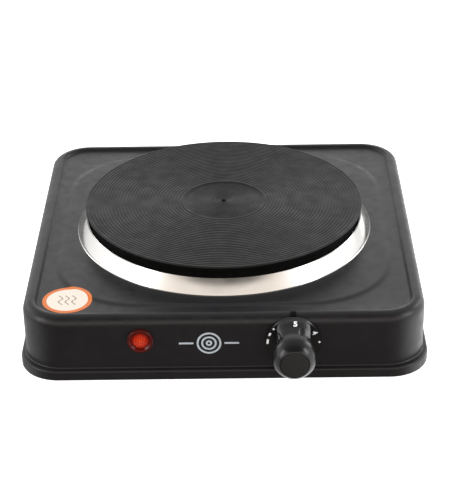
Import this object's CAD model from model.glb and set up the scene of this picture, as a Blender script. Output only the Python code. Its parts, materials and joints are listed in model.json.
import json
import math

import bmesh
import bpy
import numpy as np
from mathutils import Matrix, Vector


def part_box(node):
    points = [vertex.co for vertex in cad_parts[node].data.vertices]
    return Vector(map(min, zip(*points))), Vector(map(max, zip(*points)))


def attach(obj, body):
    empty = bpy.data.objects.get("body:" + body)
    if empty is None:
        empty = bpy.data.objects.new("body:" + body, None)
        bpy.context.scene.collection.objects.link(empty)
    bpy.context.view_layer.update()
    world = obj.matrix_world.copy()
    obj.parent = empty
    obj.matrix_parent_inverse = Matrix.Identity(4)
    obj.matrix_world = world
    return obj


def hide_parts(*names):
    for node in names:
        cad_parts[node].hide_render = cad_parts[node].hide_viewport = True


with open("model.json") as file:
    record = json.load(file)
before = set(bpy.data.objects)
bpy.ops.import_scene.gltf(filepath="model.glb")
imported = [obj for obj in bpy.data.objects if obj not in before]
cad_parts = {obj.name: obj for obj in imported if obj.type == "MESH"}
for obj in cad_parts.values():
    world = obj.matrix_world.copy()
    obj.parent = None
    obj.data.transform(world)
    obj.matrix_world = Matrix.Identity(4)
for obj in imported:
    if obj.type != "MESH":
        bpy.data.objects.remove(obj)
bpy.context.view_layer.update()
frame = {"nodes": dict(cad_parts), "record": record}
record = frame["record"]
MM = 0.001

# ---------------------------------------------------------------------------------------------
# Camera. A long lens stands in front of the controls, well above the table, a hair to the right
# of the middle, and leans by one degree.
camera = bpy.data.objects.new("camera", bpy.data.cameras.new("camera"))
bpy.context.collection.objects.link(camera)
bpy.context.scene.camera = camera
camera.data.lens, camera.data.sensor_width = 116.86, 36
camera.data.clip_start, camera.data.clip_end = 0.05, 20
swing, lift, lean = math.radians(0.722), math.radians(28.90), math.radians(-1.0496)
back = Vector((math.sin(swing) * math.cos(lift), -math.cos(swing) * math.cos(lift), math.sin(lift)))
side = (-back).cross(Vector((0, 0, 1))).normalized()
top = side.cross(-back)
across = side * math.cos(lean) + top * math.sin(lean)
upright = top * math.cos(lean) - side * math.sin(lean)
place = Matrix((across, upright, back)).transposed().to_4x4()
place.translation = Vector((0.000285, 0, 0.024006)) + back * 1.1172
camera.matrix_world = place

# ---------------------------------------------------------------------------------------------
# Studio. A white table and a soft white room: bright behind and at both sides, a warm card in
# front, and a tabletop that darkens towards the front. Soft boxes at the sides shape the knob.
scene = bpy.context.scene
scene.view_settings.view_transform = "Standard"
world = bpy.data.worlds.new("studio")
scene.world = world
world.use_nodes = True
sky = world.node_tree


def sky_math(kind, a, b=0.0, c=0.0):
    made = sky.nodes.new("ShaderNodeMath")
    made.operation = kind
    for plug, value in zip(made.inputs, (a, b, c)):
        if isinstance(value, (int, float)):
            plug.default_value = value
        else:
            sky.links.new(value, plug)
    return made.outputs[0]


def sky_ease(value, first, last, low, high):
    made = sky.nodes.new("ShaderNodeMapRange")
    made.interpolation_type = "SMOOTHSTEP"
    for plug, number in (("From Min", first), ("From Max", last), ("To Min", low), ("To Max", high)):
        made.inputs[plug].default_value = number
    sky.links.new(value, made.inputs["Value"])
    return made.outputs["Result"]


aim = sky.nodes.new("ShaderNodeSeparateXYZ")
sky.links.new(sky.nodes.new("ShaderNodeTexCoord").outputs["Generated"], aim.inputs[0])
level = sky_math("SQRT", sky_math("ADD", sky_math("MULTIPLY", aim.outputs["X"], aim.outputs["X"]),
                                  sky_math("MULTIPLY", aim.outputs["Y"], aim.outputs["Y"])))
bearing = sky_math("DIVIDE", aim.outputs["Y"], sky_math("MAXIMUM", level, 0.001))
sides = sky_ease(bearing, -0.93, -0.40, 0.92, 1.30)
behind = sky_ease(bearing, 0.1, 0.8, 0.0, -0.40)
walls = sky_math("ADD", sides, behind)
high_front = sky_ease(aim.outputs["Z"], 0.59, 0.66, 1.04, 0.02)
high_back = sky_math("MULTIPLY", sky_ease(aim.outputs["Z"], 0.42, 0.53, 1.38, 0.84),
                     sky_ease(aim.outputs["Z"], 0.60, 1.0, 1.0, 0.35))
off_middle = sky_ease(sky_math("ABSOLUTE", aim.outputs["X"]), 0.12, 0.45, 1.06, 0.72)
high_back = sky_math("MULTIPLY", high_back, off_middle)
rear = sky_ease(aim.outputs["Y"], -0.3, 0.3, 0.0, 1.0)
ceiling = sky_math("ADD", sky_math("MULTIPLY", high_back, rear),
                   sky_math("MULTIPLY", high_front, sky_math("SUBTRACT", 1.0, rear)))
table = sky_ease(aim.outputs["Z"], -0.06, 0.02, 0.0, 1.0)
tabletop = sky_math("MULTIPLY", sky_ease(bearing, -0.88, 0.0, 0.16, 1.25),
                    sky_ease(aim.outputs["X"], -0.6, 0.6, 0.55, 1.3))
shine = sky_math("ADD", sky_math("MULTIPLY", sky_math("MULTIPLY", walls, ceiling), table),
                 sky_math("MULTIPLY", tabletop, sky_math("SUBTRACT", 1.0, table)))
shine = sky_math("ADD", shine, 0.06)
warm = sky.nodes.new("ShaderNodeMix")
warm.data_type = "RGBA"
warm.inputs[6].default_value, warm.inputs[7].default_value = (1.0, 0.91, 0.83, 1), (1, 1, 1, 1)
sky.links.new(sky_ease(bearing, -0.75, -0.45, 0, 1), warm.inputs[0])
sky.links.new(warm.outputs[2], sky.nodes["Background"].inputs["Color"])
sky.links.new(shine, sky.nodes["Background"].inputs["Strength"])


def light(name, place, aim, width, height, power, colour=(1, 1, 1)):
    """A rectangular soft box at place, turned to aim."""
    lamp = bpy.data.objects.new(name, bpy.data.lights.new(name, "AREA"))
    bpy.context.collection.objects.link(lamp)
    lamp.data.shape, lamp.data.size, lamp.data.size_y = "RECTANGLE", width, height
    lamp.data.energy, lamp.data.color = power, colour
    lamp.location = place
    lamp.rotation_mode = "QUATERNION"
    lamp.rotation_quaternion = (Vector(aim) - Vector(place)).to_track_quat("-Z", "Y")
    return lamp


light("left box", (-0.9, -0.45, 0.45), (0, 0, 0.03), 0.25, 0.5, 1.2)
light("right box", (0.9, -0.35, 0.55), (0, 0, 0.03), 0.25, 0.5, 1.5)
light("right rear box", (0.9, 0.5, 0.5), (0.04, -0.14, 0.03), 0.3, 0.5, 1.4)
light("left rear box", (-0.9, 0.5, 0.5), (0.04, -0.14, 0.03), 0.3, 0.5, 0.7)
overhead = light("overhead sheet", (0.0, -0.1, 1.0), (0, 0, 0), 1.2, 1.0, 5.0)
overhead.visible_glossy = False
facing = light("front sheet", (0.0, -1.3, 0.35), (0, 0, 0.03), 1.0, 0.5, 1.4)
facing.visible_glossy = False


def shader_of(look):
    return look.node_tree.nodes["Principled BSDF"]


def material(name, base, roughness, metallic=0.0):
    """A new material with its shader's plain values set: returns it, its node tree and shader."""
    made = bpy.data.materials.new(name)
    made.use_nodes = True
    shader = shader_of(made)
    shader.inputs["Base Color"].default_value = (*base, 1)
    shader.inputs["Roughness"].default_value = roughness
    shader.inputs["Metallic"].default_value = metallic
    return made, made.node_tree, shader


bench, _, bench_shader = material("pale table", (0.9, 0.9, 0.9), 0.9)
bench_shader.inputs["Emission Color"].default_value = (1, 1, 1, 1)
bench_shader.inputs["Emission Strength"].default_value = 0.9
floor_mesh = bpy.data.meshes.new("table top")
floor_mesh.from_pydata([(-6, -6, 0), (6, -6, 0), (6, 6, 0), (-6, 6, 0)], [], [(0, 1, 2, 3)])
floor_mesh.materials.append(bench)
floor = bpy.data.objects.new("table_top", floor_mesh)
bpy.context.collection.objects.link(floor)
floor.visible_diffuse = floor.visible_glossy = False

# ---------------------------------------------------------------------------------------------
# Body shell. One steel pressing: plateau round the burner, sunk panel, raised rim, walls and a
# foot flange, sprayed with satin black powder. Its corner metal gathers in small upright folds
# at the flange.


def link(tree, a, b):
    tree.links.new(a, b)


def node(tree, kind, **values):
    """A node of the given kind. Values name its inputs or, where it has none so called, itself."""
    made = tree.nodes.new(kind)
    for key, value in values.items():
        plug = key.replace("_", " ").title()
        if plug in made.inputs:
            made.inputs[plug].default_value = value
        else:
            setattr(made, key, value)
    return made


def noise(tree, coord, scale, detail=2.0, roughness=0.5):
    made = tree.nodes.new("ShaderNodeTexNoise")
    made.inputs["Scale"].default_value = scale
    made.inputs["Detail"].default_value = detail
    made.inputs["Roughness"].default_value = roughness
    link(tree, coord, made.inputs["Vector"])
    return made.outputs["Fac"]


def spread(tree, value, low, high, first=0.35, last=0.65):
    """Carries a 0 to 1 pattern between first and last to the range low to high."""
    made = tree.nodes.new("ShaderNodeMapRange")
    made.inputs["From Min"].default_value, made.inputs["From Max"].default_value = first, last
    made.inputs["To Min"].default_value, made.inputs["To Max"].default_value = low, high
    link(tree, value, made.inputs["Value"])
    return made.outputs["Result"]


def tint(tree, value, colours):
    """A colour ramp over value, from (place, colour) pairs."""
    made = tree.nodes.new("ShaderNodeValToRGB")
    ramp = made.color_ramp
    while len(ramp.elements) < len(colours):
        ramp.elements.new(0.5)
    for stop, (place, colour) in zip(ramp.elements, colours):
        stop.position, stop.color = place, (*colour, 1)
    link(tree, value, made.inputs["Fac"])
    return made.outputs["Color"]


def bump(tree, height, strength, distance):
    made = tree.nodes.new("ShaderNodeBump")
    made.inputs["Strength"].default_value = strength
    made.inputs["Distance"].default_value = distance
    link(tree, height, made.inputs["Height"])
    return made.outputs["Normal"]


def object_place(tree):
    return tree.nodes.new("ShaderNodeTexCoord").outputs["Object"]


def skin(name, base, roughness, metallic=0.0, vary=0.12, grain=900.0, depth=0.00002, spots=60.0):
    """A finish with a fine grain, and with shade and roughness that drift over the piece."""
    made, tree, shader = material(name, base, roughness, metallic)
    at = object_place(tree)
    drift = noise(tree, at, spots, 3.0, 0.55)
    dark = tuple(c * (1 - vary) for c in base)
    pale = tuple(min(1, c * (1 + vary)) for c in base)
    link(tree, tint(tree, drift, [(0.3, dark), (0.7, pale)]), shader.inputs["Base Color"])
    patches = noise(tree, at, spots * 2.7, 3.0)
    rough = spread(tree, patches, roughness * 0.85, min(1, roughness * 1.15))
    link(tree, rough, shader.inputs["Roughness"])
    link(tree, bump(tree, noise(tree, at, grain, 2.0), 0.6, depth), shader.inputs["Normal"])
    return made


powder = skin("black_powder", (0.0112, 0.0106, 0.0124), 0.36, vary=0.10, grain=1100, depth=0.000016)
shader_of(powder).inputs["Specular IOR Level"].default_value = 0.5


def outline(half, corner, angle):
    """Distance from the axis to a rounded square of that half width, at an array of angles."""
    c, s = np.abs(np.cos(angle)), np.abs(np.sin(angle))
    flat = half / np.maximum(c, s)
    k = half - corner
    along = k * (c + s)
    arc = along + np.sqrt(np.maximum(along * along - 2 * k * k + corner * corner, 0))
    in_corner = np.minimum(c, s) * flat > k
    return np.where(in_corner, arc, flat)


def loft(name, rings, closed=True):
    """A mesh of quads over a list of rings with the same count of points."""
    count = len(rings[0])
    verts = np.concatenate(rings)
    faces = []
    n = len(rings)
    for a in range(n if closed else n - 1):
        b = (a + 1) % n
        for i in range(count):
            j = (i + 1) % count
            faces.append((a * count + i, a * count + j, b * count + j, b * count + i))
    mesh = bpy.data.meshes.new(name)
    mesh.from_pydata(verts.tolist(), [], faces)
    return mesh


def finish_mesh(mesh, smooth_angle=35, merge=1e-6):
    """Merges doubles, points faces outwards and shades round faces smooth."""
    work = bmesh.new()
    work.from_mesh(mesh)
    bmesh.ops.remove_doubles(work, verts=work.verts, dist=merge)
    bmesh.ops.dissolve_degenerate(work, edges=work.edges, dist=merge)
    bmesh.ops.recalc_face_normals(work, faces=work.faces)
    limit = math.radians(smooth_angle)
    for face in work.faces:
        face.smooth = True
    for edge in work.edges:
        edge.smooth = len(edge.link_faces) == 2 and edge.calc_face_angle(0) < limit
    work.to_mesh(mesh)
    work.free()
    return mesh


def piece(name, mesh, look, body="body", stands_for=(), smooth_angle=35):
    """Finishes a mesh, gives it its look, and hands it over as a piece that rides on a body."""
    mesh.materials.clear()
    mesh.materials.append(look)
    made = bpy.data.objects.new(name, finish_mesh(mesh, smooth_angle))
    bpy.context.collection.objects.link(made)
    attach(made, body)
    if stands_for:
        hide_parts(*stands_for)
    return made


def cut(mesh, cutters, name):
    """Takes the cutter meshes out of a mesh and returns the result as a plain mesh."""
    work = bpy.data.objects.new(name, mesh)
    bpy.context.collection.objects.link(work)
    tools = []
    for k, cutter in enumerate(cutters):
        tool = bpy.data.objects.new(f"{name} cutter {k}", cutter)
        bpy.context.collection.objects.link(tool)
        tools.append(tool)
        step = work.modifiers.new(f"cut {k}", "BOOLEAN")
        step.operation, step.object, step.solver = "DIFFERENCE", tool, "EXACT"
    bpy.context.view_layer.update()
    shown = work.evaluated_get(bpy.context.evaluated_depsgraph_get())
    result = bpy.data.meshes.new_from_object(shown)
    for thing in tools + [work]:
        bpy.data.objects.remove(thing)
    return result


def rod(centre, axis, radius, length, sides=64):
    """A closed round bar about centre, along axis."""
    mesh = bpy.data.meshes.new("rod")
    work = bmesh.new()
    bmesh.ops.create_cone(work, cap_ends=True, segments=sides, radius1=radius, radius2=radius,
                          depth=length)
    turn = Vector((0, 0, 1)).rotation_difference(Vector(axis)).to_matrix().to_4x4()
    bmesh.ops.transform(work, matrix=Matrix.Translation(centre) @ turn, verts=work.verts)
    work.to_mesh(mesh)
    work.free()
    return mesh


def bend(centre, radius, start, end, steps):
    """Points on an arc, as (distance out, height)."""
    return [
        (centre[0] + radius * math.cos(math.radians(start + (end - start) * k / steps)),
         centre[1] + radius * math.sin(math.radians(start + (end - start) * k / steps)))
        for k in range(steps + 1)
    ]


shell_low, shell_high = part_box("top_housing")
plate_low, plate_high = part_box("burner_plate")
ring_low, ring_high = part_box("trim_ring")
turning = next(j for j in record["behaviour"]["joints"] if j["name"] == "knob_turn")
knob_x, front, knob_z = turning["pos_m"]
wall = -front
rim_z, base_z, plateau_z = shell_high.z, shell_low.z, ring_low.z
flange_half = shell_high.x
sheet = 0.8 * MM
corner_r, flange_corner = 26 * MM, 25.5 * MM
edge_r = 6.2 * MM
panel_z = plateau_z - 0.9 * MM
ledge_z = base_z + 6.7 * MM
ring_foot = ring_high.x
plateau_half, slope_w = ring_foot + 6 * MM, 5.6 * MM
plateau_r = plateau_half * 0.5
fall = math.degrees(2 * math.atan((plateau_z - panel_z) / slope_w))
slope_r = slope_w / (2 * math.sin(math.radians(fall)))
drop, step_angle = rim_z - panel_z, 55
step_r = drop / (2 * (1 - math.cos(math.radians(step_angle))))
step_w = 2 * step_r * math.sin(math.radians(step_angle))
crest = wall - edge_r
hole_r = plate_high.x - 0.9 * MM

TURNS = 1200  # closer together at the corners
quarter_step = np.arange(TURNS // 4) / (TURNS // 8) - 1
turn = (np.sign(quarter_step) * np.abs(quarter_step) ** 1.5 + 1) * math.pi / 4
turn = np.concatenate([turn + k * math.pi / 2 for k in range(4)])
round_hole = np.stack([hole_r * np.cos(turn), hole_r * np.sin(turn)], 1)


def shell_profile(t):
    """The pressing's face at depth t below its outer skin, from the burner's opening outwards,
    as (kind, distance out, height). Kind 0 is the plateau's outline, 1 the body's and 2 the
    flange's."""
    foot_in, foot_out = 1 * MM, 1.6 * MM  # radii of the two bends between wall and flange
    slope_low = (plateau_half + slope_w, panel_z + slope_r)
    parts = [
        (0, bend((plateau_half, plateau_z - slope_r), slope_r - t, 90, 90 - fall, 6)),
        (0, bend(slope_low, slope_r + t, 270 - fall, 270, 6)),
        (1, bend((crest - step_w, panel_z + step_r), step_r + t, -90, step_angle - 90, 6)),
        (1, bend((crest, rim_z - step_r), step_r - t, 90 + step_angle, 90, 6)),
        (1, bend((crest, rim_z - edge_r), edge_r - t, 82, 0, 12)),
        (1, [(wall - t, z) for z in np.linspace(rim_z - edge_r - 2 * MM, ledge_z + 1.6 * MM, 9)]),
        (1, bend((wall + foot_in, ledge_z + foot_in), foot_in + t, 180, 270, 5)),
        (2, bend((flange_half - foot_out, ledge_z - foot_out), foot_out - t, 90, 0, 6)),
        (2, [(flange_half - t, z) for z in np.linspace(ledge_z - 2.4 * MM, base_z, 5)]),
    ]
    return [(kind, d, z) for kind, points in parts for d, z in points]


def folds(d):
    """How far the flange's gathered corner metal dips inwards, in metres, at every turn."""
    depth = 0.3 * MM * min(1, max(0, (d - wall) / (2 * MM)))
    quarter = np.mod(turn, math.pi / 2) - math.pi / 4
    sector = np.floor(turn / (math.pi / 2))
    near = np.exp(-((quarter + 0.05 * np.cos(sector * math.pi)) / 0.055) ** 2)
    ripple = 0.5 - 0.5 * np.cos(quarter * (440 + 30 * np.sin(sector * 1.7)) + sector)
    return depth * near * ripple * (0.6 + 0.6 * np.sin(quarter * 61 + sector * 2) ** 2)


def shell_rings(t):
    rings = [np.column_stack([round_hole, np.full(TURNS, plateau_z - t)])]
    for kind, d, z in shell_profile(t):
        if kind == 0:
            corner = plateau_r + (d - plateau_half)
        elif kind == 1:
            corner = corner_r + (d - wall)
        else:
            corner = flange_corner + (d - flange_half)
        reach = outline(d, corner, turn)
        if kind == 2:
            reach = reach - folds(d)
        rings.append(np.stack([reach * np.cos(turn), reach * np.sin(turn), np.full(TURNS, z)], 1))
    return rings


shell = loft("body_shell", shell_rings(0) + shell_rings(sheet)[::-1])
shell = finish_mesh(shell)
bush_low, bush_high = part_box("thermostat_bush")
screw_low, screw_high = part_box("thermostat_screws")
lens_low, lens_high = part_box("lamp_lens")
lens_mid = (lens_low + lens_high) / 2
lens_r = (lens_high.x - lens_low.x) / 2
gland_low, gland_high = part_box("cord_gland")
gland_mid = (gland_low + gland_high) / 2
screw_out = (screw_high.x - screw_low.x) / 2 - 3.4 * MM
bush_r = 4.6 * MM
openings = [
    rod((knob_x, front, knob_z), (0, 1, 0), bush_r + 0.2 * MM, 6 * MM),
    rod((knob_x - screw_out, front, knob_z), (0, 1, 0), 2.2 * MM, 6 * MM),
    rod((knob_x + screw_out, front, knob_z), (0, 1, 0), 2.2 * MM, 6 * MM),
    rod((lens_mid.x, front, lens_mid.z), (0, 1, 0), lens_r - 1.4 * MM, 6 * MM),
    rod((gland_mid.x, wall, gland_mid.z), (0, 1, 0), gland_high.z - gland_mid.z - 2.2 * MM, 6 * MM),
]
shell = cut(shell, openings, "body shell")
piece("body_shell", shell, powder, stands_for=["top_housing"],
      smooth_angle=40)

# ---------------------------------------------------------------------------------------------
# Burner plate. Cast iron, turned on a lathe: the face carries fine round grooves at two pitches,
# with a shallow dish and a centre mark, and is coated matt grey-black. Lip and side are burnt.


def revolve(name, profile, sides, axis="Z", centre=(0, 0, 0), closed=True):
    """Turns (radius, height) points about an axis. A closed profile makes a ring."""
    angle = np.arange(sides) * 2 * math.pi / sides
    rings = []
    for r, h in profile:
        a, b = r * np.cos(angle), r * np.sin(angle)
        flat = np.full(sides, h)
        if axis == "Z":
            ring = np.stack([a, b, flat], 1)
        else:  # outwards from the front wall
            ring = np.stack([a, -flat, b], 1)
        rings.append(ring + np.array(centre))
    return loft(name, rings, closed)


def grooved_face(plate_r, top_z, edge, dish_r):
    """The turned face, as a tree with named sizes: a polar grid that follows the cutter."""
    tree = bpy.data.node_groups.new("turned face", "GeometryNodeTree")
    tree.interface.new_socket("Geometry", in_out="OUTPUT", socket_type="NodeSocketGeometry")
    sizes = [
        ("Radius", plate_r - edge), ("Height", top_z), ("Outer pitch", 2.17 * MM),
        ("Inner pitch", 1.65 * MM), ("Groove depth", 0.26 * MM), ("Dish radius", dish_r),
        ("Dish depth", 0.5 * MM), ("First groove", dish_r + 0.9 * MM), ("Mark radius", 2.4 * MM),
    ]
    for name, _ in sizes:
        tree.interface.new_socket(name, in_out="INPUT", socket_type="NodeSocketFloat")
    tree.interface.new_socket("Look", in_out="INPUT", socket_type="NodeSocketMaterial")
    ask, give = tree.nodes.new("NodeGroupInput"), tree.nodes.new("NodeGroupOutput")
    size = ask.outputs

    def calc(kind, a, b=None, c=None):
        made = tree.nodes.new("ShaderNodeMath")
        made.operation = kind
        for plug, value in zip(made.inputs, (a, b, c)):
            if value is None:
                continue
            if isinstance(value, (int, float)):
                plug.default_value = value
            else:
                link(tree, value, plug)
        return made.outputs[0]

    rows, spokes = 340, 256
    grid = tree.nodes.new("GeometryNodeMeshGrid")
    grid.inputs["Size X"].default_value = 1
    grid.inputs["Size Y"].default_value = 1
    grid.inputs["Vertices X"].default_value = rows
    grid.inputs["Vertices Y"].default_value = spokes + 1
    where = tree.nodes.new("ShaderNodeSeparateXYZ")
    link(tree, tree.nodes.new("GeometryNodeInputPosition").outputs[0], where.inputs[0])
    share = calc("ADD", where.outputs["X"], 0.5)
    angle = calc("MULTIPLY", calc("ADD", where.outputs["Y"], 0.5), 2 * math.pi)
    radius = calc("MULTIPLY", share, size["Radius"])

    def wave(pitch, start):
        """A round-bottomed cutter's mark, 0 on the lands and 1 at the bottom."""
        turns = calc("DIVIDE", calc("SUBTRACT", radius, start), pitch)
        swing = calc("COSINE", calc("MULTIPLY", turns, 2 * math.pi))
        return calc("POWER", calc("MULTIPLY_ADD", swing, -0.5, 0.5), 0.8)

    outer = calc("MULTIPLY", wave(size["Outer pitch"], size["First groove"]),
                 calc("GREATER_THAN", radius, size["First groove"]))
    last = calc("LESS_THAN", radius, calc("SUBTRACT", size["Radius"], 0.6 * MM))
    outer = calc("MULTIPLY", outer, last)
    inner = calc("MULTIPLY", wave(size["Inner pitch"], size["Mark radius"]),
                 calc("LESS_THAN", radius, calc("SUBTRACT", size["Dish radius"], 1.2 * MM)))
    inner = calc("MULTIPLY", inner, calc("GREATER_THAN", radius, size["Mark radius"]))
    step = tree.nodes.new("ShaderNodeMapRange")
    step.interpolation_type = "SMOOTHSTEP"
    link(tree, radius, step.inputs["Value"])
    link(tree, calc("SUBTRACT", size["Dish radius"], 0.6 * MM), step.inputs["From Min"])
    link(tree, size["Dish radius"], step.inputs["From Max"])
    step.inputs["To Min"].default_value, step.inputs["To Max"].default_value = 1, 0
    mark = tree.nodes.new("ShaderNodeMapRange")
    mark.interpolation_type = "SMOOTHSTEP"
    link(tree, radius, mark.inputs["Value"])
    mark.inputs["From Min"].default_value = 0.4 * MM
    link(tree, size["Mark radius"], mark.inputs["From Max"])
    mark.inputs["To Min"].default_value, mark.inputs["To Max"].default_value = 0.9 * MM, 0
    down = calc("MULTIPLY", size["Dish depth"], step.outputs["Result"])
    down = calc("ADD", down, calc("MULTIPLY", size["Groove depth"], calc("ADD", outer, inner)))
    down = calc("ADD", down, mark.outputs["Result"])
    spot = tree.nodes.new("ShaderNodeCombineXYZ")
    link(tree, calc("MULTIPLY", radius, calc("COSINE", angle)), spot.inputs["X"])
    link(tree, calc("MULTIPLY", radius, calc("SINE", angle)), spot.inputs["Y"])
    link(tree, calc("SUBTRACT", size["Height"], down), spot.inputs["Z"])
    move = tree.nodes.new("GeometryNodeSetPosition")
    link(tree, grid.outputs["Mesh"], move.inputs["Geometry"])
    link(tree, spot.outputs[0], move.inputs["Position"])
    sew = tree.nodes.new("GeometryNodeMergeByDistance")
    sew.inputs["Distance"].default_value = 1e-6
    link(tree, move.outputs[0], sew.inputs["Geometry"])
    real = tree.nodes.new("GeometryNodeRealizeInstances")
    link(tree, sew.outputs[0], real.inputs[0])
    paint = tree.nodes.new("GeometryNodeSetMaterial")
    link(tree, real.outputs[0], paint.inputs["Geometry"])
    link(tree, size["Look"], paint.inputs["Material"])
    link(tree, paint.outputs[0], give.inputs[0])
    return tree, dict(sizes)


def grown(tree, sizes, look, name):
    """Runs a tree with its sizes and returns what it makes as a plain mesh."""
    host = bpy.data.objects.new(name, bpy.data.meshes.new(name))
    bpy.context.collection.objects.link(host)
    run = host.modifiers.new(name, "NODES")
    run.node_group = tree
    for item in tree.interface.items_tree:
        if item.item_type != "SOCKET" or item.in_out != "INPUT":
            continue
        if item.name in sizes:
            run[item.identifier] = sizes[item.name]
        elif item.name == "Look":
            run[item.identifier] = look
    bpy.context.view_layer.update()
    shown = host.evaluated_get(bpy.context.evaluated_depsgraph_get())
    result = bpy.data.meshes.new_from_object(shown)
    host.modifiers.remove(run)
    bpy.data.objects.remove(host)
    return result


def join(name, meshes):
    """One mesh out of several."""
    work = bmesh.new()
    for part in meshes:
        work.from_mesh(part)
    made = bpy.data.meshes.new(name)
    work.to_mesh(made)
    work.free()
    return made


iron = skin("burner_iron", (0.0100, 0.0100, 0.0100), 0.46, vary=0.06, grain=1500,
            depth=0.000012, spots=35)
shader_of(iron).inputs["Specular IOR Level"].default_value = 0.32
scale_black = skin("burnt_casting", (0.0022, 0.0022, 0.0022), 0.9, vary=0.2, grain=900,
                   depth=0.00006)
shader_of(scale_black).inputs["Specular IOR Level"].default_value = 0.12

plate_r, plate_top = plate_high.x, plate_high.z
plate_edge, lip, body_r = 0.8 * MM, 3.2 * MM, plate_r - 2.3 * MM
rib_z, skirt_z = plate_top - 12.2 * MM, plate_low.z
skirt_in = body_r - 3.6 * MM
dish = 0.2955 * plate_r
face, face_sizes = grooved_face(plate_r, plate_top, plate_edge, dish)
turned_face = grown(face, face_sizes, iron, "turned face")
rolled = [(plate_r - plate_edge, plate_top),
          (plate_r - plate_edge * 0.35, plate_top - plate_edge * 0.25),
          (plate_r, plate_top - plate_edge)]
under = [(plate_r, plate_top - plate_edge), (plate_r - 0.5 * MM, plate_top - lip),
         (body_r, plate_top - lip - 1 * MM), (body_r, skirt_z), (skirt_in, skirt_z),
         (skirt_in, rib_z)]
for k in (0.84, 0.63, 0.42):
    for s, z in ((5, rib_z), (5, rib_z + 5 * MM), (-5, rib_z + 5 * MM), (-5, rib_z)):
        under.append((k * plate_r + s * MM, z))
under += [(3.05 * MM, rib_z), (3.05 * MM, rib_z + 7 * MM), (1e-7, rib_z + 7 * MM)]
plate = join("burner_plate", [turned_face, revolve("rolled edge", rolled, 256, closed=False),
                              revolve("casting", under, 256, closed=False)])
turned = piece("burner_plate_turned", plate, iron,
               stands_for=["burner_plate"], smooth_angle=50)
turned.data.materials.append(scale_black)
for side_face in turned.data.polygons:
    side_face.material_index = int(side_face.center.z < plate_top - plate_edge - 1e-6)

# ---------------------------------------------------------------------------------------------
# Trim ring. Stainless strip, rolled to a steep cone that covers the gap between plate and
# plateau, and polished along its length.
steel, steel_tree, steel_shader = material("polished_stainless", (0.80, 0.79, 0.77), 0.14, 1.0)
steel_at = object_place(steel_tree)
steel_split = node(steel_tree, "ShaderNodeSeparateXYZ")
link(steel_tree, steel_at, steel_split.inputs[0])
band = node(steel_tree, "ShaderNodeTexNoise", noise_dimensions="1D", scale=9000.0, detail=3.0)
link(steel_tree, steel_split.outputs["Z"], band.inputs["W"])
smear = noise(steel_tree, steel_at, 45, 3)
link(steel_tree, spread(steel_tree, smear, 0.10, 0.20), steel_shader.inputs["Roughness"])
link(steel_tree, bump(steel_tree, band.outputs["Fac"], 0.25, 0.000006), steel_shader.inputs["Normal"])

ring_in, ring_out, ring_t = plate_r - 0.4 * MM, ring_foot - 0.5 * MM, 0.6 * MM
ring_top = ring_high.z
cone = [(ring_in + (ring_out - ring_in) * k / 12 + 0.12 * MM * math.sin(math.pi * k / 12),
         ring_top + (plateau_z + 0.9 * MM - ring_top) * k / 12) for k in range(13)]
curl = bend((ring_in, ring_top - ring_t / 2), ring_t / 2, 270, 90, 6)
skirt = [(ring_out + 0.15 * MM, plateau_z + 0.45 * MM), (ring_foot, plateau_z + 0.2 * MM),
         (ring_foot, plateau_z)]
lining = [(ring_out - ring_t, plateau_z), (ring_out - ring_t, plateau_z + 0.6 * MM)]
lining += [(r - ring_t, z - 0.1 * MM) for r, z in cone[::-3]]
trim = revolve("trim_ring_polished", curl + cone[1:] + skirt + lining, 360)
piece("trim_ring_polished", trim, steel, stands_for=["trim_ring"],
      smooth_angle=50)

# ---------------------------------------------------------------------------------------------
# Knob. Moulded black phenolic pushed on the control shaft: a skirt that carries the dial, a
# tapering body with finger hollows and four shallow oval flutes, and a head that rounds over to
# a flat ground face.
phenolic = skin("black_phenolic", (0.009, 0.009, 0.010), 0.22, vary=0.15, grain=500,
                depth=0.000006, spots=90)
ground = skin("ground_phenolic", (0.016, 0.0155, 0.0165), 0.6, vary=0.1, grain=1800,
              depth=0.00001, spots=120)

knob_low, knob_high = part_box("knob")
knob_r = (knob_high.x - knob_low.x) / 2
knob_out = front - knob_low.y
bar = 0.3 * 2 * knob_r
skirt_face, head_r = 3.4 * MM, 0.387 * 2 * knob_r
face_r = 0.65 * head_r
round_from, round_r = knob_out - 10.3 * MM, 13 * MM  # where the head starts to round over
knob_rows = [(knob_r - 0.25 * MM, 1.0 * MM), (knob_r, 1.3 * MM),
             (knob_r - 0.15 * MM, skirt_face - 0.5 * MM), (knob_r - 0.35 * MM, skirt_face - 0.02 * MM)]
side_line = [(skirt_face, knob_r - 0.35 * MM), (5.6 * MM, knob_r - 0.62 * MM),
             (9.5 * MM, knob_r - 1.9 * MM), (15 * MM, knob_r - 3.2 * MM),
             (round_from, head_r + 0.65 * MM)]
line_h, line_r = [p[0] for p in side_line], [p[1] for p in side_line]
heights = np.linspace(skirt_face, round_from, 40)
flow = np.interp(heights, line_h, line_r)
for _ in range(6):  # the moulding runs from one taper to the next without a crease
    flow[1:-1] = (flow[:-2] + 2 * flow[1:-1] + flow[2:]) / 4
knob_rows += [(float(r), float(h)) for r, h in zip(flow, heights)]
knob_rows += bend((head_r - 12.35 * MM, round_from), round_r, 3, 51, 20)
knob_rows += [(face_r, knob_out - 0.08 * MM), (face_r - 0.3 * MM, knob_out)]
knob_turns = 360
spin_angle = np.arange(knob_turns) * 2 * math.pi / knob_turns
soft = 0.35 * MM
hollow_r, hollow_bend, hollow_end = 5 * MM, 16 * MM, 21 * MM
flute_depth = 0.8 * MM


def softly_less(a, b):
    """The smaller of two sizes, with the corner between them rounded."""
    return 0.5 * (a + b - np.sqrt((a - b) ** 2 + soft * soft))


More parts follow.
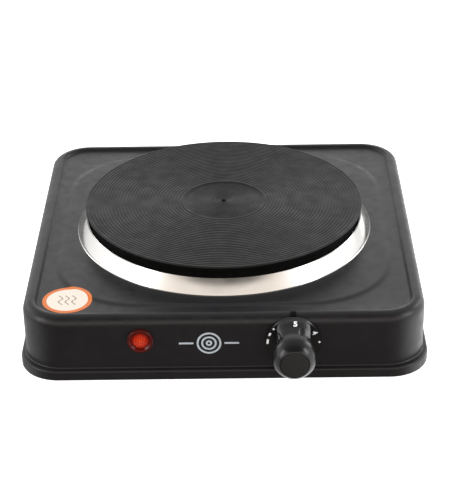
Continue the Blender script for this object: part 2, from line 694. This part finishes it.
knob_rings = []
for k, (r, h) in enumerate(knob_rows):
    reach = np.full(knob_turns, r)
    if k >= 4:
        hollow = bar
        if h > hollow_bend:
            rise = min(h, hollow_end) - hollow_bend
            hollow = bar + hollow_r - math.sqrt(max(0, hollow_r ** 2 - rise ** 2))
        if h > hollow_end:
            hollow += 3 * (h - hollow_end)
        reach = softly_less(reach, hollow / np.maximum(np.abs(np.cos(spin_angle)), 1e-3))
        for flute in (18, -42, 138, 198):
            off = np.angle(np.exp(1j * (spin_angle - math.radians(90 - flute)))) * r / (1.95 * MM)
            along = (h - 14.8 * MM) / (5.4 * MM)
            dip = np.clip(1 - off ** 2 - along ** 2, 0, 1) ** 0.5 * (np.abs(off) < 1)
            reach = reach - flute_depth * dip
    knob_rings.append(np.stack([knob_x + reach * np.cos(spin_angle), front - np.full(knob_turns, h),
                                knob_z + reach * np.sin(spin_angle)], 1))
rim_in = knob_r - 1.6 * MM
bore_r, bore_end = 3.05 * MM, 22.5 * MM
inside = [(1e-7, knob_out), (1e-7, bore_end), (bore_r, bore_end), (bore_r, 3 * MM),
          (rim_in, 3 * MM), (rim_in, 1.0 * MM)]
for r, h in inside:
    knob_rings.append(np.stack([knob_x + r * np.cos(spin_angle), np.full(knob_turns, front - h),
                                knob_z + r * np.sin(spin_angle)], 1))
knob_mesh = loft("knob_moulding", knob_rings)
moulding = piece("knob_moulding", knob_mesh, phenolic, body="dial",
                 stands_for=["knob"], smooth_angle=38)
moulding.data.materials.append(ground)
for cap in moulding.data.polygons:
    cap.material_index = int(cap.center.y < front - knob_out + 0.03 * MM)

# ---------------------------------------------------------------------------------------------
# Dial marks. Printed in white on the knob's skirt: steps 1 to 5, dashes between them, and three
# growing dashes past 5.
ink = skin("white_ink", (0.92, 0.92, 0.92), 0.5, vary=0.06, grain=2500, depth=0.000006,
           spots=300)
ink_shader = shader_of(ink)
ink_shader.inputs["Emission Color"].default_value = (0.9, 0.95, 1, 1)
ink_shader.inputs["Emission Strength"].default_value = 0.28
ink_mesh = []


def on_knob(mesh, clock, radius, out, lean_back=0.0):
    """Places a flat mark, drawn about its own middle in XY, on the knob at a clock angle."""
    a = math.radians(clock)
    turn_up = Matrix.Rotation(math.radians(90), 4, "X")
    roll = Matrix.Rotation(a, 4, "Y")
    tip = Matrix.Rotation(-lean_back, 4, "X")
    spot = (knob_x + radius * math.sin(a), front - out, knob_z + radius * math.cos(a))
    centre = Matrix.Translation(spot)
    mesh.transform(centre @ roll @ tip @ turn_up)
    mesh.update()
    return mesh


def dash(length, width):
    mesh = bpy.data.meshes.new("dash")
    work = bmesh.new()
    bmesh.ops.create_cube(work, size=1)
    bmesh.ops.scale(work, vec=(width, length, 0.08 * MM), verts=work.verts)
    upright = [e for e in work.edges if abs(e.verts[0].co.z - e.verts[1].co.z) > 1e-6]
    bmesh.ops.bevel(work, geom=upright, offset=min(width, length) * 0.45, segments=4,
                    affect="EDGES")
    work.to_mesh(mesh)
    work.free()
    return mesh


def figure(text, height):
    words = bpy.data.curves.new("figure", "FONT")
    words.body, words.size, words.extrude = text, height / 0.72, 0.04 * MM
    words.offset = 0.035 * height
    words.align_x, words.align_y, words.resolution_u = "CENTER", "CENTER", 4
    host = bpy.data.objects.new("figure", words)
    bpy.context.collection.objects.link(host)
    bpy.context.view_layer.update()
    made = bpy.data.meshes.new_from_object(host.evaluated_get(bpy.context.evaluated_depsgraph_get()))
    bpy.data.objects.remove(host)
    return made


for clock, text in ((61, "4"), (127, "3"), (226, "1")):
    ink_mesh.append(on_knob(figure(text, 3.3 * MM), clock, knob_r - 2.6 * MM, skirt_face))
for clock, length in ((-50, 2.0), (-66, 3.1), (-85, 4.2), (88, 2.0), (151, 2.2), (209, 2.2)):
    ink_mesh.append(on_knob(dash(1.3 * MM, length * MM), clock, knob_r - 1.35 * MM, skirt_face))
for clock, text in ((3.5, "5"), (180, "2")):
    lean_back = math.atan2(9.5 - 5.6, 1.28)
    ink_mesh.append(on_knob(figure(text, 3.9 * MM), clock, knob_r - 1.2 * MM, 7.5 * MM, lean_back))
piece("dial_marks", join("dial_marks", ink_mesh), ink, body="dial", smooth_angle=30)

# ---------------------------------------------------------------------------------------------
# Pointer nib. A small moulded button clipped to the rounded edge above the knob, which the dial
# is read against.
nib_black = skin("nib_black", (0.0025, 0.0025, 0.0027), 0.5, vary=0.15, grain=800, depth=0.00002)
shader_of(nib_black).inputs["Specular IOR Level"].default_value = 0.2
for spot in frame["nodes"]["knob_pointer"].material_slots:
    spot.material = nib_black

# ---------------------------------------------------------------------------------------------
# Pilot lamp. A red styrene lens snapped into the wall: a rounded rim round a core of small
# pyramids, lit from behind by a neon lamp.
lens_red, lens_tree, lens_shader = material("red_lens", (0.50, 0.015, 0.006), 0.12)
lens_shader.inputs["Specular IOR Level"].default_value = 0.3
lens_at = object_place(lens_tree)
centre_off = node(lens_tree, "ShaderNodeMapping")
link(lens_tree, lens_at, centre_off.inputs["Vector"])
centre_off.inputs["Location"].default_value = (-lens_mid.x, -front, -lens_mid.z)
flat_place = node(lens_tree, "ShaderNodeVectorMath", operation="MULTIPLY")
flat_place.inputs[1].default_value = (1, 0, 1)
link(lens_tree, centre_off.outputs[0], flat_place.inputs[0])
far = node(lens_tree, "ShaderNodeVectorMath", operation="LENGTH")
link(lens_tree, flat_place.outputs[0], far.inputs[0])
hue = tint(lens_tree, spread(lens_tree, far.outputs["Value"], 0, 1, 0, lens_r),
           [(0.0, (0.62, 0.045, 0.006)), (0.50, (0.42, 0.018, 0.004)),
            (0.68, (0.10, 0.004, 0.002)), (1.0, (0.045, 0.003, 0.002))])
link(lens_tree, hue, lens_shader.inputs["Base Color"])
link(lens_tree, hue, lens_shader.inputs["Emission Color"])
lens_shader.inputs["Emission Strength"].default_value = 0.2
lens_haze = spread(lens_tree, noise(lens_tree, lens_at, 300), 0.08, 0.18)
link(lens_tree, lens_haze, lens_shader.inputs["Roughness"])

core_r = lens_r - 2.4 * MM
rim_line = [(lens_r - 1.2 * MM, 0), (lens_r, 0), (lens_r, 0.7 * MM)]
rim_line += bend((lens_r - 0.9 * MM, 1.2 * MM), 0.9 * MM, 10, 150, 8)
rim_line += [(core_r, 0.9 * MM), (core_r, -0.5 * MM), (lens_r - 1.6 * MM, -4 * MM),
             (lens_r - 1.6 * MM, -0.01 * MM)]
rim_mesh = revolve("lens_rim", rim_line, 128, axis="Y", centre=(lens_mid.x, front, lens_mid.z))


def pyramids(reach, pitch, rise, dome):
    """Small four-sided prisms over a round, domed field, grown from a grid of points."""
    tree = bpy.data.node_groups.new("prism field", "GeometryNodeTree")
    tree.interface.new_socket("Geometry", in_out="OUTPUT", socket_type="NodeSocketGeometry")
    for name in ("Field radius", "Pitch", "Rise", "Dome"):
        tree.interface.new_socket(name, in_out="INPUT", socket_type="NodeSocketFloat")
    tree.interface.new_socket("Look", in_out="INPUT", socket_type="NodeSocketMaterial")
    ask, give = tree.nodes.new("NodeGroupInput"), tree.nodes.new("NodeGroupOutput")
    size = ask.outputs
    count = int(2 * reach / pitch) + 1

    def calc(kind, a, b):
        made = tree.nodes.new("ShaderNodeMath")
        made.operation = kind
        for plug, value in zip(made.inputs, (a, b)):
            if isinstance(value, (int, float)):
                plug.default_value = value
            else:
                link(tree, value, plug)
        return made.outputs[0]

    grid = tree.nodes.new("GeometryNodeMeshGrid")
    span = calc("MULTIPLY", size["Pitch"], count - 1)
    link(tree, span, grid.inputs["Size X"])
    link(tree, span, grid.inputs["Size Y"])
    grid.inputs["Vertices X"].default_value = count
    grid.inputs["Vertices Y"].default_value = count
    cone = tree.nodes.new("GeometryNodeMeshCone")
    cone.inputs["Vertices"].default_value = 4
    link(tree, calc("MULTIPLY", size["Pitch"], 0.7071), cone.inputs["Radius Bottom"])
    cone.inputs["Radius Top"].default_value = 0
    link(tree, size["Rise"], cone.inputs["Depth"])
    square = tree.nodes.new("GeometryNodeTransform")
    link(tree, cone.outputs["Mesh"], square.inputs["Geometry"])
    square.inputs["Rotation"].default_value = (0, 0, math.pi / 4)
    spots = tree.nodes.new("GeometryNodeInstanceOnPoints")
    link(tree, grid.outputs["Mesh"], spots.inputs["Points"])
    link(tree, square.outputs[0], spots.inputs["Instance"])
    middle = tree.nodes.new("ShaderNodeVectorMath")
    middle.operation = "LENGTH"
    link(tree, tree.nodes.new("GeometryNodeInputPosition").outputs[0], middle.inputs[0])
    inset = calc("SUBTRACT", size["Field radius"], calc("MULTIPLY", size["Pitch"], 0.6))
    link(tree, calc("LESS_THAN", middle.outputs["Value"], inset), spots.inputs["Selection"])
    real = tree.nodes.new("GeometryNodeRealizeInstances")
    link(tree, spots.outputs[0], real.inputs[0])
    away = tree.nodes.new("ShaderNodeVectorMath")
    away.operation = "LENGTH"
    held = tree.nodes.new("ShaderNodeSeparateXYZ")
    at = tree.nodes.new("GeometryNodeInputPosition")
    link(tree, at.outputs[0], held.inputs[0])
    plan = tree.nodes.new("ShaderNodeCombineXYZ")
    link(tree, held.outputs["X"], plan.inputs["X"])
    link(tree, held.outputs["Y"], plan.inputs["Y"])
    link(tree, plan.outputs[0], away.inputs[0])
    share = calc("DIVIDE", away.outputs["Value"], size["Field radius"])
    raised = calc("MULTIPLY", size["Dome"], calc("SUBTRACT", 1, calc("MULTIPLY", share, share)))
    shift = tree.nodes.new("ShaderNodeCombineXYZ")
    link(tree, raised, shift.inputs["Z"])
    move = tree.nodes.new("GeometryNodeSetPosition")
    link(tree, real.outputs[0], move.inputs["Geometry"])
    link(tree, shift.outputs[0], move.inputs["Offset"])
    paint = tree.nodes.new("GeometryNodeSetMaterial")
    link(tree, move.outputs[0], paint.inputs["Geometry"])
    link(tree, size["Look"], paint.inputs["Material"])
    link(tree, paint.outputs[0], give.inputs[0])
    return tree, {"Field radius": reach, "Pitch": pitch, "Rise": rise, "Dome": dome}


prism_tree, prism_sizes = pyramids(core_r, 1.45 * MM, 0.55 * MM, 0.9 * MM)
prism_mesh = grown(prism_tree, prism_sizes, lens_red, "prism field")
prism_mesh.transform(Matrix.Translation((lens_mid.x, front - 0.75 * MM, lens_mid.z))
                     @ Matrix.Rotation(math.radians(90), 4, "X"))
pane_r = core_r + 0.02 * MM
pane_line = [(1e-7, 1.55 * MM), (core_r * 0.5, 1.35 * MM), (pane_r, 0.75 * MM),
             (pane_r, -0.45 * MM), (1e-7, -0.45 * MM)]
pane_mesh = revolve("lens_pane", pane_line, 96, axis="Y",
                    centre=(lens_mid.x, front, lens_mid.z), closed=False)
for part in (rim_mesh, pane_mesh, prism_mesh):
    part.materials.clear()
lens_mesh = join("pilot_lens", [finish_mesh(rim_mesh, 40), finish_mesh(pane_mesh, 40), prism_mesh])
piece("pilot_lens", lens_mesh, lens_red, stands_for=["lamp_lens"],
      smooth_angle=25)

# ---------------------------------------------------------------------------------------------
# Heat sticker. Thin vinyl in the left front corner, pressed over the plateau's rounded slope:
# an orange ring round a cream disc with three rising heat waves.
vinyl, vinyl_tree, vinyl_shader = material("heat_sticker", (0.85, 0.82, 0.72), 0.38)
stick_low, stick_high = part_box("heat_sticker")
stick_mid = (stick_low + stick_high) / 2
stick_r = (stick_high.x - stick_low.x) / 2
vinyl_at = object_place(vinyl_tree)
vinyl_off = node(vinyl_tree, "ShaderNodeMapping")
vinyl_off.inputs["Location"].default_value = (-stick_mid.x, -stick_mid.y, 0)
link(vinyl_tree, vinyl_at, vinyl_off.inputs["Vector"])
vinyl_xyz = node(vinyl_tree, "ShaderNodeSeparateXYZ")
link(vinyl_tree, vinyl_off.outputs[0], vinyl_xyz.inputs[0])


def reckon(kind, *values):
    """A sum in the sticker's own tree."""
    made = vinyl_tree.nodes.new("ShaderNodeMath")
    made.operation = kind
    for plug, value in zip(made.inputs, values):
        if isinstance(value, (int, float)):
            plug.default_value = value
        else:
            link(vinyl_tree, value, plug)
    return made.outputs[0]


sx, sy = vinyl_xyz.outputs["X"], vinyl_xyz.outputs["Y"]
stick_far = reckon("SQRT", reckon("ADD", reckon("MULTIPLY", sx, sx), reckon("MULTIPLY", sy, sy)))
in_ring = reckon("GREATER_THAN", stick_far, stick_r - 2.7 * MM)
wave_gap, wave_length, wave_swing, wave_half = 4.2 * MM, 7.5 * MM, 1.1 * MM, 0.42 * MM
waves = None
for shift in (-wave_gap, 0, wave_gap):
    phase = reckon("MULTIPLY", sy, 2 * math.pi / wave_length)
    bow = reckon("MULTIPLY", reckon("SINE", phase), wave_swing)
    miss = reckon("ABSOLUTE", reckon("SUBTRACT", reckon("SUBTRACT", sx, shift), bow))
    line = reckon("LESS_THAN", miss, wave_half)
    waves = line if waves is None else reckon("MAXIMUM", waves, line)
waves = reckon("MULTIPLY", waves, reckon("LESS_THAN", reckon("ABSOLUTE", sy), 5.6 * MM))
mixed = node(vinyl_tree, "ShaderNodeMix", data_type="RGBA")
mixed.inputs[6].default_value = (0.88, 0.80, 0.70, 1)
mixed.inputs[7].default_value = (0.30, 0.19, 0.12, 1)
link(vinyl_tree, waves, mixed.inputs[0])
ringed = node(vinyl_tree, "ShaderNodeMix", data_type="RGBA")
ringed.inputs[7].default_value = (0.76, 0.19, 0.035, 1)
link(vinyl_tree, mixed.outputs[2], ringed.inputs[6])
link(vinyl_tree, in_ring, ringed.inputs[0])
link(vinyl_tree, ringed.outputs[2], vinyl_shader.inputs["Base Color"])
vinyl_rough = spread(vinyl_tree, noise(vinyl_tree, vinyl_at, 120), 0.30, 0.46)
link(vinyl_tree, vinyl_rough, vinyl_shader.inputs["Roughness"])
vinyl_relief = bump(vinyl_tree, noise(vinyl_tree, vinyl_at, 260, 3), 0.4, 0.00003)
link(vinyl_tree, vinyl_relief, vinyl_shader.inputs["Normal"])


def top_height(x, y):
    """Height of the pressing's top at a place inside the rim, for the sticker to lie on."""
    k = plateau_half - plateau_r
    d = math.hypot(max(abs(x) - k, 0), max(abs(y) - k, 0)) - plateau_r
    bend_in = slope_r * math.sin(math.radians(fall))
    if d <= 0:
        return plateau_z
    if d < bend_in:
        return plateau_z - slope_r + math.sqrt(slope_r ** 2 - d * d)
    if d < slope_w:
        return panel_z + slope_r - math.sqrt(slope_r ** 2 - (slope_w - d) ** 2)
    return panel_z


film_top, film_foot = 0.16, 0.02  # millimetres above the pressing
stick_rows = [(stick_r * k / 40, film_top) for k in range(40)]
stick_rows += [(stick_r - 0.12 * MM, film_top), (stick_r, 0.06), (stick_r, film_foot)]
stick_rows += [(stick_r * k / 8, film_foot) for k in range(7, -1, -1)]
stick_rings = []
angle = np.arange(192) * 2 * math.pi / 192
for r, up in stick_rows:
    r = max(r, 1e-7)
    ring = [(stick_mid.x + r * math.cos(a), stick_mid.y + r * math.sin(a)) for a in angle]
    stick_rings.append(np.array([(x, y, top_height(x, y) + up * MM) for x, y in ring]))
sticker = loft("heat_sticker_print", stick_rings, closed=False)
piece("heat_sticker_print", sticker, vinyl, stands_for=["heat_sticker"],
      smooth_angle=30)

# ---------------------------------------------------------------------------------------------
# Wall print. A pale screen-printed burner symbol between lamp and knob: three rings with a short
# rule at each side, a film too thin to feel.
pale_ink = skin("pale_wall_ink", (0.60, 0.68, 0.76), 0.45, vary=0.05, grain=1500,
                depth=0.000008, spots=200)
for spot in frame["nodes"]["front_print"].material_slots:
    spot.material = pale_ink

# ---------------------------------------------------------------------------------------------
# Looks of the frame's own pieces. Rubber feet and cord gland, zinc-plated and bare sheet, the
# thermostat's brass, bronze and ceramic, the coil in magnesia, the neon lamp and wire sleeves.
rubber = skin("black_rubber", (0.022, 0.022, 0.022), 0.72, vary=0.2, grain=700, depth=0.00004, spots=80)
zinc = skin("zinc_plate", (0.52, 0.52, 0.50), 0.34, 1.0, vary=0.08, grain=600, depth=0.00001, spots=120)
galvanised, galv_tree, galv_shader = material("galvanised_sheet", (0.5, 0.51, 0.52), 0.4, 1.0)
galv_at = object_place(galv_tree)
spangle = node(galv_tree, "ShaderNodeTexVoronoi", scale=130.0)
link(galv_tree, galv_at, spangle.inputs["Vector"])
crystals = spangle.outputs["Color"]
zinc_hue = tint(galv_tree, crystals, [(0.1, (0.42, 0.43, 0.45)), (0.9, (0.60, 0.61, 0.62))])
link(galv_tree, zinc_hue, galv_shader.inputs["Base Color"])
link(galv_tree, spread(galv_tree, crystals, 0.30, 0.48, 0, 1), galv_shader.inputs["Roughness"])
ceramic = skin("steatite", (0.80, 0.77, 0.69), 0.55, vary=0.05, grain=900, depth=0.00002, spots=150)
magnesia = skin("magnesia", (0.72, 0.69, 0.62), 0.85, vary=0.1, grain=1400, depth=0.00006, spots=200)
resistance = skin("resistance_alloy", (0.42, 0.38, 0.34), 0.42, 1.0, vary=0.15, grain=900,
                  depth=0.00001)
mill_sheet = skin("mill_sheet", (0.50, 0.50, 0.49), 0.38, 1.0, vary=0.08, grain=500,
                  depth=0.00001, spots=50)
alu_sheet = skin("aluminised_sheet", (0.72, 0.72, 0.72), 0.35, 1.0, vary=0.06, grain=500,
                 depth=0.00001, spots=70)
spring = skin("spring_steel", (0.40, 0.40, 0.41), 0.30, 1.0, vary=0.08, grain=900, depth=0.000005)
turned_brass = skin("turned_brass", (0.66, 0.50, 0.22), 0.28, 1.0, vary=0.08, grain=900, depth=0.000008)
bronze = skin("spring_bronze", (0.66, 0.42, 0.24), 0.30, 1.0, vary=0.08, grain=900, depth=0.000005)
bimetal = skin("bimetal", (0.48, 0.45, 0.41), 0.36, 1.0, vary=0.1, grain=900, depth=0.000006)
bright = skin("bright_contact", (0.82, 0.82, 0.80), 0.20, 1.0, vary=0.05, grain=900, depth=0.000004)
nylon = skin("white_nylon", (0.74, 0.74, 0.70), 0.45, vary=0.04, grain=700, depth=0.00001, spots=120)
neon = skin("neon_glass", (0.80, 0.42, 0.30), 0.10, vary=0.1, grain=400, depth=0.000002)
neon_shader = shader_of(neon)
neon_shader.inputs["Emission Color"].default_value = (1.0, 0.32, 0.10, 1)
neon_shader.inputs["Emission Strength"].default_value = 1.2
lacquer = skin("resistor_lacquer", (0.58, 0.42, 0.24), 0.35, vary=0.1, grain=600, depth=0.00001)


def insulation(name, base):
    return skin(name, base, 0.48, vary=0.06, grain=900, depth=0.000012, spots=150)


looks = {
    "base_sheet": galvanised, "zinc_steel": zinc, "foot_rubber": rubber, "gland_rubber": rubber,
    "knob_plastic": phenolic, "magnesia": magnesia, "coil_wire": resistance,
    "cover_steel": mill_sheet, "white_ceramic": ceramic, "shield_sheet": alu_sheet,
    "spring_steel": spring, "shaft_brass": turned_brass, "blade_bronze": bronze,
    "bimetal": bimetal, "silver_contact": bright, "white_plastic": nylon, "neon_glass": neon,
    "resistor_body": lacquer, "terminal_brass": turned_brass,
    "wire_brown": insulation("brown_sleeve", (0.20, 0.08, 0.035)),
    "wire_white": insulation("white_sleeve", (0.74, 0.73, 0.70)),
    "wire_blue": insulation("blue_sleeve", (0.05, 0.13, 0.42)),
    "wire_green": insulation("green_sleeve", (0.22, 0.42, 0.05)),
    "wire_black": insulation("black_sleeve", (0.02, 0.02, 0.02)),
}
for part in record["subparts"]:
    look = looks.get(part["material_slot"])
    if look and part["node"] not in ("knob", "knob_pointer"):
        for spot in frame["nodes"][part["node"]].material_slots:
            spot.material = look
